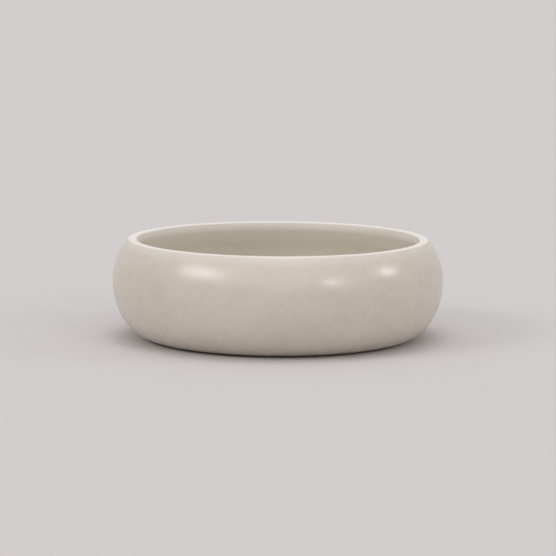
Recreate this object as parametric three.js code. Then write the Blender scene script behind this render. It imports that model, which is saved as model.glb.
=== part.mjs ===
// A low, round concrete bowl planter that stands on the floor: a cast shell with a drain
// through its floor, a sleeve that lines the drain, a stopper that closes it, and pads
// under the base. Millimetres, +Z up. The origin is on the floor, under the bowl's centre.
import * as THREE from "three";

// Shell, outside
const overallHeight = 180; // floor to the top of the rim
const bellyRadius = 300; // widest part of the wall
const bellyHeight = 105; // floor to the widest part
const rimInset = 28.3; // outer edge of the rim, in from the belly
const baseInset = 73; // edge of the flat underside, in from the belly

// Shell, rim and inside
const rimWidth = 15; // flat top of the rim
const rimEdgeRadius = 2; // rounding of both edges of the rim
const lipDepth = 13; // straight band inside, below the rim
const wallThickness = 20; // at the belly
const floorThickness = 20; // at the base

// Drain sleeve, set into the shell's floor with its flange flush
const boreRadius = 15;
const sleeveWall = 4;
const sleeveFlangeWidth = 7; // beyond the sleeve's outside
const sleeveFlangeThickness = 3;
const sleeveClearance = 0.3; // all round, to the shell

// Stopper, pushed into the sleeve from above
const plugClearance = 0.3; // to the bore, at the stopper's widest
const plugTaper = 1.5; // radius that the stopper loses towards its tip
const plugTipRecess = 4; // tip above the shell's underside
const plugFlangeOverlap = 7; // flange beyond the bore
const plugFlangeThickness = 3;
const plugEdgeRadius = 1.2; // rounding of the flange and the tip
const knobNeckRadius = 5;
const knobRadius = 9;
const knobNeckHeight = 5; // finger gap under the knob
const knobHeight = 9; // head of the knob

// Pads under the base
const padCount = 4;
const padRadius = 20;
const padThickness = 1.5;
const padEdgeInset = 24; // pad, in from the edge of the underside
const padEdgeRadius = 0.5;

// Steps of the faceted solids
const shellTurnSteps = 72;
const fittingTurnSteps = 36;
const longCurveSteps = 11;
const edgeSteps = 3;

// Levels and radii that the pieces share
const undersideLevel = padThickness;
const floorLevel = undersideLevel + floorThickness;
const rimRadius = bellyRadius - rimInset;
const baseRadius = bellyRadius - baseInset;
const sleeveRadius = boreRadius + sleeveWall;
const sleeveFlangeRadius = sleeveRadius + sleeveFlangeWidth;
const sleeveSeatLevel = floorLevel - sleeveFlangeThickness;

const concrete = new THREE.MeshStandardMaterial({ color: 0xc6bbad, roughness: 0.5, metalness: 0 });
const plastic = new THREE.MeshStandardMaterial({ color: 0x7d7a75, roughness: 0.55, metalness: 0 });
const rubber = new THREE.MeshStandardMaterial({ color: 0x2c2b2a, roughness: 0.85, metalness: 0 });

const point = (radius, level) => new THREE.Vector2(radius, level);

// Points along an ellipse's outline from one angle to another, counted from outwards to up.
function arc(centre, radiusAcross, radiusUp, from, to, steps) {
  const curve = new THREE.EllipseCurve(
    centre.x, centre.y, radiusAcross, radiusUp, from, to, to < from);
  return curve.getPoints(steps);
}

// Turns a profile of radii and levels round the vertical axis. Stretches of the profile
// may share their end points, which are kept once.
function turned(profile, steps) {
  const distinct = profile.filter((p, i) => i === 0 || p.distanceTo(profile[i - 1]) > 1e-6);
  return new THREE.LatheGeometry(distinct, steps).rotateX(Math.PI / 2);
}

function named(name, geometry, material) {
  const mesh = new THREE.Mesh(geometry, material);
  mesh.name = name;
  return mesh;
}

// Radius of an arc that leaves the belly upright and ends inset from it and rise above it.
const shoulderRadius = (inset, rise) => (inset ** 2 + rise ** 2) / (2 * inset);

// From the underside's edge round the belly and the shoulder to the rim's flat top.
function outsideOfShell() {
  const lower = arc(point(baseRadius, bellyHeight), baseInset, bellyHeight - undersideLevel,
    -Math.PI / 2, 0, longCurveSteps);
  const radius = shoulderRadius(rimInset, overallHeight - bellyHeight);
  const centre = point(bellyRadius - radius, bellyHeight);
  const edgeRise = overallHeight - rimEdgeRadius - bellyHeight;
  const edgeReach = Math.sqrt((radius - rimEdgeRadius) ** 2 - edgeRise ** 2);
  const edgeAngle = Math.atan2(edgeRise, edgeReach);
  const edgeCentre = point(centre.x + edgeReach, overallHeight - rimEdgeRadius);
  return [
    ...lower,
    ...arc(centre, radius, radius, 0, edgeAngle, longCurveSteps),
    ...arc(edgeCentre, rimEdgeRadius, rimEdgeRadius, edgeAngle, Math.PI / 2, edgeSteps),
  ];
}

// From the rim's flat top down the lip, under the shoulder and over the floor's round edge.
function insideOfShell() {
  const lipRadius = rimRadius - rimWidth;
  const lipLevel = overallHeight - lipDepth;
  const innerBelly = bellyRadius - wallThickness;
  const edgeCentre = point(lipRadius + rimEdgeRadius, overallHeight - rimEdgeRadius);
  const radius = shoulderRadius(innerBelly - lipRadius, lipLevel - bellyHeight);
  const centre = point(innerBelly - radius, bellyHeight);
  const lipAngle = Math.atan2(lipLevel - centre.y, lipRadius - centre.x);
  return [
    ...arc(edgeCentre, rimEdgeRadius, rimEdgeRadius, Math.PI / 2, Math.PI, edgeSteps),
    ...arc(centre, radius, radius, lipAngle, 0, longCurveSteps),
    ...arc(point(baseRadius, bellyHeight), innerBelly - baseRadius, bellyHeight - floorLevel,
      0, -Math.PI / 2, longCurveSteps),
  ];
}

function bowlShell() {
  const holeRadius = sleeveRadius + sleeveClearance;
  const recessRadius = sleeveFlangeRadius + sleeveClearance;
  const profile = [
    point(holeRadius, undersideLevel),
    ...outsideOfShell(),
    ...insideOfShell(),
    point(recessRadius, floorLevel),
    point(recessRadius, sleeveSeatLevel),
    point(holeRadius, sleeveSeatLevel),
    point(holeRadius, undersideLevel),
  ];
  return named("bowl_shell", turned(profile, shellTurnSteps), concrete);
}

function drainSleeve() {
  const profile = [
    point(boreRadius, undersideLevel),
    point(sleeveRadius, undersideLevel),
    point(sleeveRadius, sleeveSeatLevel),
    point(sleeveFlangeRadius, sleeveSeatLevel),
    point(sleeveFlangeRadius, floorLevel),
    point(boreRadius, floorLevel),
    point(boreRadius, undersideLevel),
  ];
  return named("drain_sleeve", turned(profile, fittingTurnSteps), plastic);
}

// The flange rests on the sleeve's flange. Positions are set from there.
function drainPlug() {
  const bodyRadius = boreRadius - plugClearance;
  const bodyLength = floorThickness - plugTipRecess;
  const tipRadius = bodyRadius - plugTaper;
  const flangeRadius = boreRadius + plugFlangeOverlap;
  const neckLevel = plugFlangeThickness + knobNeckHeight;
  const knobLevel = neckLevel + knobHeight / 2;
  const quarter = Math.PI / 2;
  const profile = [
    point(0, -bodyLength),
    ...arc(point(tipRadius - plugEdgeRadius, plugEdgeRadius - bodyLength),
      plugEdgeRadius, plugEdgeRadius, -quarter, 0, edgeSteps),
    point(bodyRadius, 0),
    point(flangeRadius, 0),
    ...arc(point(flangeRadius - plugEdgeRadius, plugFlangeThickness - plugEdgeRadius),
      plugEdgeRadius, plugEdgeRadius, 0, quarter, edgeSteps),
    point(knobNeckRadius, plugFlangeThickness),
    point(knobNeckRadius, neckLevel),
    ...arc(point(knobNeckRadius, knobLevel), knobRadius - knobNeckRadius, knobHeight / 2,
      -quarter, quarter, 2 * edgeSteps),
    point(0, neckLevel + knobHeight),
  ];
  const plug = named("drain_plug", turned(profile, fittingTurnSteps), rubber);
  plug.position.z = floorLevel;
  return plug;
}

function footPad(number) {
  const profile = [
    point(0, 0),
    ...arc(point(padRadius - padEdgeRadius, padEdgeRadius), padEdgeRadius, padEdgeRadius,
      -Math.PI / 2, 0, edgeSteps),
    point(padRadius, padThickness),
    point(0, padThickness),
  ];
  const pad = named(`foot_pad_${number}`, turned(profile, fittingTurnSteps), rubber);
  const angle = (2 * Math.PI * (number - 0.5)) / padCount;
  const distance = baseRadius - padEdgeInset - padRadius;
  pad.position.set(distance * Math.cos(angle), distance * Math.sin(angle), 0);
  return pad;
}

const planter = new THREE.Group();
planter.add(bowlShell(), drainSleeve(), drainPlug());
for (let number = 1; number <= padCount; number += 1) {
  planter.add(footPad(number));
}

export default planter;
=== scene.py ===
"""The looks of a low, round concrete bowl planter: a smooth cast shell in warm grey concrete,
its drain sleeve, rubber stopper and floor pads, on a plain pale floor in soft light.
Metres, +Z up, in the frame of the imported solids."""

import math

import bpy
from mathutils import Matrix, Vector, noise


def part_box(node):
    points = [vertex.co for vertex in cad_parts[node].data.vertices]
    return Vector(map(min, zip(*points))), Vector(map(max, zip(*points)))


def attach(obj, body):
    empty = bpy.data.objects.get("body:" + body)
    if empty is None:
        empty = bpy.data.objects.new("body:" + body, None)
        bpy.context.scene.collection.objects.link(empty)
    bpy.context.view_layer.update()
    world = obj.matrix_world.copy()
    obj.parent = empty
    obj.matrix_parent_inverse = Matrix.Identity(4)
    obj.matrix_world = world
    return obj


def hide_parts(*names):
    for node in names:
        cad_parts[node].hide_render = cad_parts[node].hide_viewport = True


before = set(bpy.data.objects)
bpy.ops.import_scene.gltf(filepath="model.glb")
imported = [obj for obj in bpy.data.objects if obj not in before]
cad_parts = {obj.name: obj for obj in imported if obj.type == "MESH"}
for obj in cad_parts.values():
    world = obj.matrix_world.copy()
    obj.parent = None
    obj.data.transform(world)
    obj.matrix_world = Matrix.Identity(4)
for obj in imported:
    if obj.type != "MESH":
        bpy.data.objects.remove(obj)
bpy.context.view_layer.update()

# The shell's sizes that its box doesn't give
BELLY_LEVEL = 0.105
RIM_INSET = 0.0283
BASE_INSET = 0.073
RIM_WIDTH = 0.015
RIM_EDGE = 0.002
LIP_DEPTH = 0.013
LIP_ROUNDING = 0.020
WALL = 0.020
FLOOR_THICKNESS = 0.020
SEAT_GAP = 0.0003
CAST_EDGE = 0.0008

# The fittings' sizes that their boxes don't give
BORE_RADIUS = 0.015
SLEEVE_WALL = 0.004
SLEEVE_FLANGE = 0.003
SLEEVE_EDGE = 0.0006
PLUG_GAP = 0.0003
PLUG_TAPER = 0.0015
PLUG_FLANGE = 0.003
PLUG_EDGE = 0.0012
KNOB_NECK_RADIUS = 0.005
KNOB_RADIUS = 0.009
KNOB_NECK_HEIGHT = 0.005
PAD_EDGE = 0.0005

# How finely the pieces are turned, and the steps along the stretches of their profiles
SHELL_TURN_STEPS = 360
FITTING_TURN_STEPS = 96
FLAT_STEPS = 26
LOWER_WALL_STEPS = 44
SHOULDER_STEPS = 28
RIM_STEPS = 6
LIP_STEPS = 7
INNER_SHOULDER_STEPS = 22
INNER_LOWER_STEPS = 36
CAST_EDGE_STEPS = 3
FITTING_EDGE_STEPS = 4
PLUG_EDGE_STEPS = 5
PLUG_FLANGE_STEPS = 6
KNOB_STEPS = 16
TOUCHING = 1e-7

# How far the cast surface strays from a true round, over what distance, and how far apart
# the noise of its wall and that of its rim are taken
STRAY_ROUND = 0.0004
STRAY_RIM = 0.0003
STRAY_SIZE = 0.11
STRAY_APART = 10.0

# Where the shell's finish changes: how much of its surface's direction is outwards or up, and
# how far below the lip the painted light on the rim and lip fades out
INSIDE_OUTWARDS = -0.3
BED_UPWARDS = 0.5
RIM_OUTWARDS = 0.85
RIM_SPREAD = 0.3
RIM_FADE = 0.030

# The photograph's camera
CAMERA_BACK = 4.8
CAMERA_ASIDE = 0.0002
CAMERA_HEIGHT = 0.762
CAMERA_PITCH = math.radians(7.77)
CAMERA_ROLL = math.radians(0.34)
CAMERA_LENS = 172.46
CAMERA_SENSOR = 36.0
CAMERA_REACH = 200.0

# The studio
FLOOR_RADIUS = 45.0
FLOOR_CORNERS = 64
FLOOR_LEVEL = -0.0002
FLOOR_COLOUR = (0.634, 0.608, 0.603)
BACKDROP_COLOUR = (0.645, 0.618, 0.612)

# The sky's even light, and what it has more or less of: azimuth, elevation, narrowness, strength
SKY_EVEN = 0.45
SKY_OVERHEAD = (0, 90, 2.0, 0.39)
SKY_SOFTBOX = (0, 90, 40.0, 3.0)
SKY_HIGH_FRONT = (8, 30, 8.0, 0.64)
SKY_LOW_FRONT = (0, 0, 2.0, -0.20)
SKY_LOW_BACK = (180, 0, 2.0, 0.20)

QUARTER = math.pi / 2


# ---- Meshes ----

def arc(centre, across, up, start, end, steps):
    """Points (radius, level) along an ellipse's outline, angles counted from outwards to up."""
    angles = [start + (end - start) * i / steps for i in range(steps + 1)]
    return [(centre[0] + across * math.cos(a), centre[1] + up * math.sin(a)) for a in angles]


def straight(start, end, steps):
    """Points along a straight stretch of a profile."""
    return [tuple(s + (e - s) * i / steps for s, e in zip(start, end)) for i in range(steps + 1)]


def distinct(profile):
    """The profile without points that repeat the one before."""
    kept = []
    for p in profile:
        if not kept or math.dist(p, kept[-1]) > TOUCHING:
            kept.append(p)
    return kept


def turned(name, profile, steps, closed, centre=(0.0, 0.0), stray=None):
    """A mesh object made by turning a profile. A closed profile makes a ring; an open one
    starts and ends on the axis. stray(radius, level, angle) gives each point's true place."""
    ring = distinct(profile)
    if closed and math.dist(ring[0], ring[-1]) < TOUCHING:
        ring.pop()
    inner = ring if closed else ring[1:-1]
    verts, faces = [], []
    for k in range(steps):
        angle = 2 * math.pi * k / steps
        for radius, level in inner:
            r, z = stray(radius, level, angle) if stray else (radius, level)
            verts.append((centre[0] + r * math.cos(angle), centre[1] + r * math.sin(angle), z))
    count = len(inner)
    for k in range(steps):
        here, there = k * count, (k + 1) % steps * count
        for i in range(count if closed else count - 1):
            j = (i + 1) % count
            faces.append((here + i, there + i, there + j, here + j))
    if not closed:
        for end, i, flip in ((ring[0], 0, True), (ring[-1], count - 1, False)):
            verts.append((centre[0], centre[1], end[1]))
            tip = len(verts) - 1
            for k in range(steps):
                here, there = k * count + i, (k + 1) % steps * count + i
                faces.append((tip, there, here) if flip else (tip, here, there))
    mesh = bpy.data.meshes.new(name)
    mesh.from_pydata(verts, [], faces)
    mesh.update()
    mesh.shade_smooth()
    piece = bpy.data.objects.new(name, mesh)
    bpy.context.scene.collection.objects.link(piece)
    return piece


def dress(piece, body, node, material):
    """Puts a fine piece in its solid's place."""
    piece.data.materials.append(material)
    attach(piece, body)
    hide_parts(node)


def clamped(value):
    """The value, kept from 0 to 1."""
    return min(max(value, 0.0), 1.0)


def ripple(place):
    """Smooth noise from 0 to 1."""
    return 0.5 + 0.5 * noise.noise(place)


# ---- The shell ----

def shoulder(inset, rise):
    """Radius of the arc that leaves the belly upright and ends inset from it and rise above it."""
    return (inset ** 2 + rise ** 2) / (2 * inset)


def shell_outside(belly, rim_level, underside):
    """From the flat underside's edge round the belly and the shoulder to the rim's flat top."""
    radius = shoulder(RIM_INSET, rim_level - BELLY_LEVEL)
    centre = (belly - radius, BELLY_LEVEL)
    rise = rim_level - RIM_EDGE - BELLY_LEVEL
    reach = math.sqrt((radius - RIM_EDGE) ** 2 - rise ** 2)
    turn = math.atan2(rise, reach)
    base = (belly - BASE_INSET, BELLY_LEVEL)
    edge = (centre[0] + reach, rim_level - RIM_EDGE)
    return [
        *arc(base, BASE_INSET, BELLY_LEVEL - underside, -QUARTER, 0, LOWER_WALL_STEPS),
        *arc(centre, radius, radius, 0, turn, SHOULDER_STEPS),
        *arc(edge, RIM_EDGE, RIM_EDGE, turn, QUARTER, RIM_STEPS),
    ]


def shell_inside(belly, rim_level, floor_level):
    """From the rim's flat top down the straight lip, under the shoulder and on to the floor."""
    lip_radius = belly - RIM_INSET - RIM_WIDTH
    lip_level = rim_level - LIP_DEPTH
    inner_belly = belly - WALL
    radius = shoulder(inner_belly - lip_radius, lip_level - BELLY_LEVEL)
    centre = (inner_belly - radius, BELLY_LEVEL)
    reach = lip_radius + LIP_ROUNDING - centre[0]
    rise = math.sqrt((radius + LIP_ROUNDING) ** 2 - reach ** 2)
    turn = math.atan2(rise, reach)
    edge = (lip_radius + RIM_EDGE, rim_level - RIM_EDGE)
    lip_foot = (centre[0] + reach, centre[1] + rise)
    base_radius = belly - BASE_INSET
    return [
        *arc(edge, RIM_EDGE, RIM_EDGE, QUARTER, math.pi, RIM_STEPS),
        *arc(lip_foot, LIP_ROUNDING, LIP_ROUNDING, math.pi, math.pi + turn, LIP_STEPS),
        *arc(centre, radius, radius, turn, 0, INNER_SHOULDER_STEPS),
        *arc((base_radius, BELLY_LEVEL), inner_belly - base_radius, BELLY_LEVEL - floor_level,
             0, -QUARTER, INNER_LOWER_STEPS),
    ]


def cast_bowl(material):
    low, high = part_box("bowl_shell")
    belly, rim_level, underside = high.x, high.z, low.z
    floor_level = underside + FLOOR_THICKNESS
    hole = BORE_RADIUS + SLEEVE_WALL + SEAT_GAP
    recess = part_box("drain_sleeve")[1].x + SEAT_GAP
    seat = floor_level - SLEEVE_FLANGE
    outside = shell_outside(belly, rim_level, underside)
    inside = shell_inside(belly, rim_level, floor_level)
    profile = [
        *straight((hole + CAST_EDGE, underside), outside[0], FLAT_STEPS),
        *outside,
        *straight(outside[-1], inside[0], RIM_STEPS),
        *inside,
        *straight(inside[-1], (recess + CAST_EDGE, floor_level), FLAT_STEPS),
        *arc((recess + CAST_EDGE, floor_level - CAST_EDGE), CAST_EDGE, CAST_EDGE,
             QUARTER, math.pi, CAST_EDGE_STEPS),
        (recess, seat),
        (hole, seat),
        *arc((hole + CAST_EDGE, underside + CAST_EDGE), CAST_EDGE, CAST_EDGE,
             math.pi, 3 * QUARTER, CAST_EDGE_STEPS),
    ]

    def stray(radius, level, angle):
        """Pulls the wall a little off the true round, never outwards, and the rim down."""
        up_the_wall = clamped((level - floor_level) / (BELLY_LEVEL - floor_level))
        place = Vector((math.cos(angle), math.sin(angle), 0.0)) * (belly / STRAY_SIZE)
        place.z = level / STRAY_SIZE
        inward = STRAY_ROUND * up_the_wall * ripple(place)
        near_rim = clamped((level - (rim_level - LIP_DEPTH)) / LIP_DEPTH)
        place.z += STRAY_APART
        down = STRAY_RIM * near_rim * ripple(place)
        return radius - inward, level - down

    bowl = turned("cast_bowl", profile, SHELL_TURN_STEPS, closed=True, stray=stray)
    mark_zones(bowl.data, rim_level)
    dress(bowl, "planter", "bowl_shell", material)


def mark_zones(mesh, rim_level):
    """Marks the shell's inside, and its rim and lip, for the material; the rim mark carries
    painted light on the rim and lip, and their duller finish.
    """
    inside = mesh.attributes.new("inside", "FLOAT", "POINT").data
    rim = mesh.attributes.new("rim", "FLOAT", "POINT").data
    for vertex in mesh.vertices:
        outwards = vertex.co.xy.normalized().dot(vertex.normal.xy)
        bed = vertex.normal.z > BED_UPWARDS and vertex.co.z < BELLY_LEVEL
        inside[vertex.index].value = float(outwards < INSIDE_OUTWARDS or bed)
        # The rim mark is painted light, fading out over RIM_FADE below the lip like the lit band
        # there
        below_lip = clamped((rim_level - LIP_DEPTH - vertex.co.z) / RIM_FADE)
        turned_in = clamped((RIM_OUTWARDS - outwards) / RIM_SPREAD)
        rim[vertex.index].value = turned_in * (1.0 - below_lip)


# ---- The fittings ----

def drain_bush(material):
    low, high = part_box("drain_sleeve")
    outer, flange = BORE_RADIUS + SLEEVE_WALL, high.x
    seat = high.z - SLEEVE_FLANGE
    edge = SLEEVE_EDGE
    steps = FITTING_EDGE_STEPS
    profile = [
        *arc((BORE_RADIUS + edge, low.z + edge), edge, edge, math.pi, 3 * QUARTER, steps),
        *arc((outer - edge, low.z + edge), edge, edge, -QUARTER, 0, steps),
        (outer, seat),
        (flange, seat),
        *arc((flange - edge, high.z - edge), edge, edge, 0, QUARTER, steps),
        *arc((BORE_RADIUS + edge, high.z - edge), edge, edge, QUARTER, math.pi, steps),
    ]
    bush = turned("drain_bush", profile, FITTING_TURN_STEPS, closed=True)
    dress(bush, "planter", "drain_sleeve", material)


def stopper(material):
    low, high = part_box("drain_plug")
    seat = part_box("drain_sleeve")[1].z
    top_radius = BORE_RADIUS - PLUG_GAP
    tip_radius = top_radius - PLUG_TAPER
    flange_top = seat + PLUG_FLANGE
    neck_top = flange_top + KNOB_NECK_HEIGHT
    knob = (KNOB_NECK_RADIUS, (neck_top + high.z) / 2)
    edge = PLUG_EDGE
    profile = [
        (0.0, low.z),
        *arc((tip_radius - edge, low.z + edge), edge, edge, -QUARTER, 0, PLUG_EDGE_STEPS),
        (top_radius, seat),
        (high.x, seat),
        *arc((high.x - edge, flange_top - edge), edge, edge, 0, QUARTER, PLUG_FLANGE_STEPS),
        *arc((KNOB_NECK_RADIUS + edge, flange_top + edge), edge, edge,
             -QUARTER, -math.pi, PLUG_EDGE_STEPS),
        (KNOB_NECK_RADIUS, neck_top),
        *arc(knob, KNOB_RADIUS - KNOB_NECK_RADIUS, (high.z - neck_top) / 2,
             -QUARTER, QUARTER, KNOB_STEPS),
        (0.0, high.z),
    ]
    plug = turned("stopper", profile, FITTING_TURN_STEPS, closed=False)
    dress(plug, "stopper", "drain_plug", material)


def floor_pads(material):
    for node in sorted(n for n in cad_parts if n.startswith("foot_pad_")):
        low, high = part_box(node)
        centre = (low + high) / 2
        radius = (high.x - low.x) / 2
        profile = [
            (0.0, low.z),
            *arc((radius - PAD_EDGE, low.z + PAD_EDGE), PAD_EDGE, PAD_EDGE,
                 -QUARTER, 0, FITTING_EDGE_STEPS),
            (radius, high.z),
            (0.0, high.z),
        ]
        pad = turned("rubber_pad_" + node[-1], profile, FITTING_TURN_STEPS, closed=False,
                     centre=(centre.x, centre.y))
        dress(pad, "planter", node, material)


# ---- Materials ----

class Nodes:
    """Short ways to add shader nodes to the tree of one material or world."""

    def __init__(self, holder, shader="Principled BSDF", coordinates="Object"):
        holder.use_nodes = True
        self.holder = holder
        self.tree = holder.node_tree
        self.inputs = self.tree.nodes[shader].inputs
        self.place = self.add("ShaderNodeTexCoord").outputs[coordinates]

    def add(self, kind, **settings):
        node = self.tree.nodes.new(kind)
        for key, value in settings.items():
            setattr(node, key, value)
        return node

    def join(self, source, socket):
        """Links a node's output to a socket, or sets the socket to a plain value."""
        if isinstance(source, bpy.types.NodeSocket):
            self.tree.links.new(source, socket)
        else:
            socket.default_value = source

    def stretched(self, scale):
        """The place, scaled along each axis: under 1 stretches what is drawn there."""
        node = self.add("ShaderNodeMapping")
        self.join(self.place, node.inputs["Vector"])
        node.inputs["Scale"].default_value = scale
        return node.outputs["Vector"]

    def noise(self, size, detail, roughness, place=None, distortion=0.0):
        """Noise with features about size metres across."""
        node = self.add("ShaderNodeTexNoise")
        self.join(place or self.place, node.inputs["Vector"])
        node.inputs["Scale"].default_value = 1.0 / size
        node.inputs["Detail"].default_value = detail
        node.inputs["Roughness"].default_value = roughness
        node.inputs["Distortion"].default_value = distortion
        return node.outputs["Fac"]

    def zone(self, name):
        """A share that the mesh holds for each of its points."""
        return self.add("ShaderNodeAttribute", attribute_name=name).outputs["Fac"]

    def cells(self, size):
        """Distance to the nearest of points scattered about size metres apart, in sizes."""
        node = self.add("ShaderNodeTexVoronoi")
        self.join(self.place, node.inputs["Vector"])
        node.inputs["Scale"].default_value = 1.0 / size
        return node.outputs["Distance"]

    def between(self, source, low, high, to_low=0.0, to_high=1.0):
        """Goes from to_low to to_high while the source goes from low to high."""
        node = self.add("ShaderNodeMapRange")
        self.join(source, node.inputs["Value"])
        for name, value in (("From Min", low), ("From Max", high),
                            ("To Min", to_low), ("To Max", to_high)):
            node.inputs[name].default_value = value
        return node.outputs["Result"]

    def spread(self, share, to_low, to_high):
        """Goes from to_low to to_high while a share goes from 0 to 1."""
        return self.between(share, 0.0, 1.0, to_low, to_high)

    def maths(self, operation, first, second):
        node = self.add("ShaderNodeMath", operation=operation)
        self.join(first, node.inputs[0])
        self.join(second, node.inputs[1])
        return node.outputs["Value"]

    def times(self, first, second):
        return self.maths("MULTIPLY", first, second)

    def plus(self, first, second):
        return self.maths("ADD", first, second)

    def mix(self, share, first, second):
        """The first colour where the share is 0, the second where it is 1."""
        node = self.add("ShaderNodeMix", data_type="RGBA")
        self.join(share, node.inputs[0])
        for colour, socket in ((first, node.inputs[6]), (second, node.inputs[7])):
            if isinstance(colour, tuple):
                colour = (*colour, 1.0)
            self.join(colour, socket)
        return node.outputs[2]

    def glow(self, towards, power):
        """One in a direction, falling to nothing at right angles to it."""
        node = self.add("ShaderNodeVectorMath", operation="DOT_PRODUCT")
        self.join(self.place, node.inputs[0])
        node.inputs[1].default_value = towards
        return self.maths("POWER", self.maths("MAXIMUM", node.outputs["Value"], 0.0), power)

    def bump(self, height, depth, before=None):
        """A normal for a relief of this depth in metres, on top of the one before."""
        node = self.add("ShaderNodeBump")
        self.join(height, node.inputs["Height"])
        node.inputs["Distance"].default_value = depth
        node.inputs["Strength"].default_value = 1.0
        if before:
            self.join(before, node.inputs["Normal"])
        return node.outputs["Normal"]


# The concrete's colours
CONCRETE = (0.665, 0.598, 0.520)
CONCRETE_LIGHT = (0.738, 0.678, 0.603)
CONCRETE_DARK = (0.575, 0.506, 0.427)
# Painted light: the rim top and the lip are painted paler where light from above and the front
# falls on them
CONCRETE_RIM_PAINTED_LIGHT = (0.870, 0.823, 0.768)
CONCRETE_INSIDE = (0.640, 0.595, 0.515)
# Painted shade: the dark colour painted into the pinholes
PORE_PAINTED_SHADE = (0.26, 0.22, 0.18)

# The sizes of its markings, with the pores' soft edge as shares of their spacing
CLOUD_SIZE = 0.16
PATCH_SIZE = 0.040
STREAK_SIZE = 0.07
UPRIGHT = (1.0, 1.0, 0.2)
GRAIN_SIZE = 0.0011
WAVE_SIZE = 0.018
PORE_SPACING = 0.011
PORE_EDGE = (0.035, 0.055)
PORE_AREA_SIZE = 0.045

# How much of each colour shows
CLOUD_SHARE = 0.50
PATCH_SHARE = 0.26
STREAK_SHARE = 0.17
GRAIN_SHARE = 0.10
PORE_PAINTED_SHADE_SHARE = 0.5
INSIDE_SHARE = 0.75
# How much painted light shows on the rim and lip, more where the patches are pale
RIM_PAINTED_LIGHT_SHARES = (0.84, 0.93)

# Its roughness, what is added to it, and how strongly it shines
SATIN = (0.23, 0.29)
INSIDE_DULLING = 0.20
RIM_DULLING = 0.28
GRAIN_DULLING = 0.04
SHINE = 0.9

# The depths of its relief
WAVE_DEPTH = 0.00013
GRAIN_DEPTH = 0.00003
PORE_DEPTH = 0.0006


def concrete():
    """Smooth sealed concrete: clouds, faint streaks, sand grain and a few pinholes painted dark as
    painted shade. The rim and the lip are painted paler as painted light, and duller; the inside
    is a little duller too."""
    n = Nodes(bpy.data.materials.new("cast_concrete"))
    inside, rim = n.zone("inside"), n.zone("rim")
    clouds = n.between(n.noise(CLOUD_SIZE, detail=4.0, roughness=0.55, distortion=0.4),
                       low=0.32, high=0.70)
    patches = n.between(n.noise(PATCH_SIZE, detail=3.0, roughness=0.5), low=0.32, high=0.68)
    streaks = n.between(
        n.noise(STREAK_SIZE, detail=2.0, roughness=0.5, place=n.stretched(UPRIGHT)),
        low=0.35, high=0.68)
    grain = n.noise(GRAIN_SIZE, detail=2.0, roughness=0.7)
    waves = n.noise(WAVE_SIZE, detail=3.0, roughness=0.55)
    pored = n.between(n.noise(PORE_AREA_SIZE, detail=1.0, roughness=0.5), low=0.46, high=0.58)
    pores = n.between(n.cells(PORE_SPACING), *PORE_EDGE, to_low=1.0, to_high=0.0)
    pores = n.times(pores, pored)

    colour = n.mix(n.times(clouds, CLOUD_SHARE), CONCRETE, CONCRETE_DARK)
    colour = n.mix(n.times(patches, PATCH_SHARE), colour, CONCRETE_LIGHT)
    colour = n.mix(n.times(streaks, STREAK_SHARE), colour, CONCRETE_LIGHT)
    colour = n.mix(n.times(inside, INSIDE_SHARE), colour, CONCRETE_INSIDE)
    # Painted light: the rim and lip mixed towards the pale painted rim colour
    colour = n.mix(n.times(rim, n.spread(patches, *RIM_PAINTED_LIGHT_SHARES)), colour, CONCRETE_RIM_PAINTED_LIGHT)
    dark_grain = n.between(grain, 0.30, 0.75, to_low=GRAIN_SHARE, to_high=0.0)
    colour = n.mix(dark_grain, colour, CONCRETE_DARK)
    # Painted shade: the pinholes painted dark, besides their relief
    colour = n.mix(n.times(pores, PORE_PAINTED_SHADE_SHARE), colour, PORE_PAINTED_SHADE)
    n.join(colour, n.inputs["Base Color"])

    roughness = n.plus(n.spread(patches, *SATIN), n.spread(inside, 0.0, INSIDE_DULLING))
    roughness = n.plus(roughness, n.spread(rim, 0.0, RIM_DULLING))
    roughness = n.plus(roughness, n.between(grain, 0.3, 0.8, 0.0, GRAIN_DULLING))
    n.join(roughness, n.inputs["Roughness"])
    n.inputs["Specular IOR Level"].default_value = SHINE

    normal = n.bump(waves, WAVE_DEPTH)
    normal = n.bump(grain, GRAIN_DEPTH, before=normal)
    normal = n.bump(n.maths("SUBTRACT", 1.0, pores), PORE_DEPTH, before=normal)
    n.join(normal, n.inputs["Normal"])
    return n.holder


# Wear on the moulded fittings: its size, how much of its colour shows, what it adds to roughness
WEAR_SIZE = 0.012
WEAR_SHARE = 0.5
WEAR_DULLING = 0.1


def moulded(name, colour, worn, roughness, grain_size, grain_depth):
    """Moulded plastic or rubber: a fine grain, with a faint cloud of wear in it."""
    n = Nodes(bpy.data.materials.new(name))
    wear = n.between(n.noise(WEAR_SIZE, detail=4.0, roughness=0.6), low=0.45, high=0.75)
    grain = n.noise(grain_size, detail=3.0, roughness=0.6)
    n.join(n.mix(n.times(wear, WEAR_SHARE), colour, worn), n.inputs["Base Color"])
    n.join(n.spread(wear, roughness, roughness + WEAR_DULLING), n.inputs["Roughness"])
    n.join(n.bump(grain, grain_depth), n.inputs["Normal"])
    return n.holder


# ---- The studio ----

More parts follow.
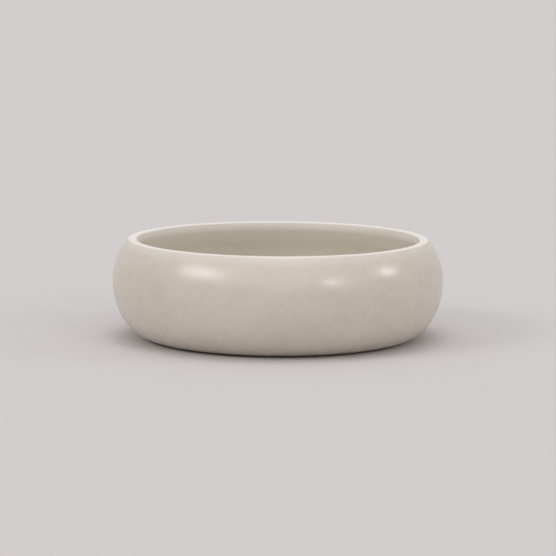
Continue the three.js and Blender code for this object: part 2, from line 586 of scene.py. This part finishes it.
def studio_floor():
    angles = [2 * math.pi * k / FLOOR_CORNERS for k in range(FLOOR_CORNERS)]
    corners = [(math.cos(a) * FLOOR_RADIUS, math.sin(a) * FLOOR_RADIUS, FLOOR_LEVEL)
               for a in angles]
    mesh = bpy.data.meshes.new("studio_floor")
    mesh.from_pydata(corners, [], [tuple(range(FLOOR_CORNERS))])
    floor = bpy.data.objects.new("studio_floor", mesh)
    bpy.context.scene.collection.objects.link(floor)
    n = Nodes(bpy.data.materials.new("floor_paper"))
    n.inputs["Base Color"].default_value = (*FLOOR_COLOUR, 1.0)
    n.inputs["Roughness"].default_value = 1.0
    n.inputs["Specular IOR Level"].default_value = 0.0
    mesh.materials.append(n.holder)


def direction(azimuth, elevation):
    """Azimuth 0 is on the camera's side, 90 on the right, in degrees."""
    a, e = math.radians(azimuth), math.radians(elevation)
    return Vector((math.sin(a) * math.cos(e), -math.cos(a) * math.cos(e), math.sin(e)))


def studio_sky():
    """A soft dome with a softbox overhead and brighter and dimmer sides. The camera sees the
    backdrop's colour instead."""
    n = Nodes(bpy.data.worlds.new("studio"), "Background", "Generated")
    bpy.context.scene.world = n.holder
    dome = SKY_EVEN
    for azimuth, elevation, narrowness, strength in (
            SKY_OVERHEAD, SKY_SOFTBOX, SKY_HIGH_FRONT, SKY_LOW_FRONT, SKY_LOW_BACK):
        dome = n.plus(dome, n.times(n.glow(direction(azimuth, elevation), narrowness), strength))
    seen = n.add("ShaderNodeLightPath").outputs["Is Camera Ray"]
    unseen = n.maths("SUBTRACT", 1.0, seen)
    n.join(n.mix(seen, (1.0, 1.0, 1.0), BACKDROP_COLOUR), n.inputs["Color"])
    n.join(n.maths("MAXIMUM", seen, n.times(dome, unseen)), n.inputs["Strength"])


def lamp(name, azimuth, elevation, width, strength):
    """A far, round, soft lamp, its width in degrees."""
    data = bpy.data.lights.new(name, "SUN")
    data.energy = strength
    data.angle = math.radians(width)
    made = bpy.data.objects.new(name, data)
    made.rotation_euler = direction(azimuth, elevation).to_track_quat("Z", "Y").to_euler()
    bpy.context.scene.collection.objects.link(made)


def camera():
    data = bpy.data.cameras.new("camera")
    data.lens = CAMERA_LENS
    data.sensor_width = CAMERA_SENSOR
    data.clip_end = CAMERA_REACH
    made = bpy.data.objects.new("camera", data)
    made.matrix_world = (
        Matrix.Translation((CAMERA_ASIDE, -CAMERA_BACK, CAMERA_HEIGHT))
        @ Matrix.Rotation(QUARTER - CAMERA_PITCH, 4, "X")
        @ Matrix.Rotation(CAMERA_ROLL, 4, "Z")
    )
    bpy.context.scene.collection.objects.link(made)
    bpy.context.scene.camera = made


camera()
cast_bowl(concrete())
drain_bush(moulded("grey_plastic", colour=(0.20, 0.19, 0.18), worn=(0.27, 0.26, 0.25),
                   roughness=0.45, grain_size=0.0006, grain_depth=0.00002))
stopper(moulded("black_rubber", colour=(0.030, 0.029, 0.028), worn=(0.060, 0.058, 0.055),
                roughness=0.62, grain_size=0.0008, grain_depth=0.00004))
floor_pads(moulded("pad_rubber", colour=(0.025, 0.024, 0.023), worn=(0.050, 0.047, 0.044),
                   roughness=0.75, grain_size=0.0010, grain_depth=0.00006))
studio_floor()
studio_sky()
lamp("key_left", azimuth=-69.0, elevation=33.0, width=18.0, strength=0.29)
lamp("key_front", azimuth=-52.0, elevation=33.0, width=18.0, strength=0.29)
lamp("fill_right", azimuth=90.0, elevation=25.5, width=10.0, strength=0.21)
lamp("glint_middle", azimuth=40.0, elevation=24.0, width=8.0, strength=0.19)
bpy.context.scene.view_settings.view_transform = "Standard"
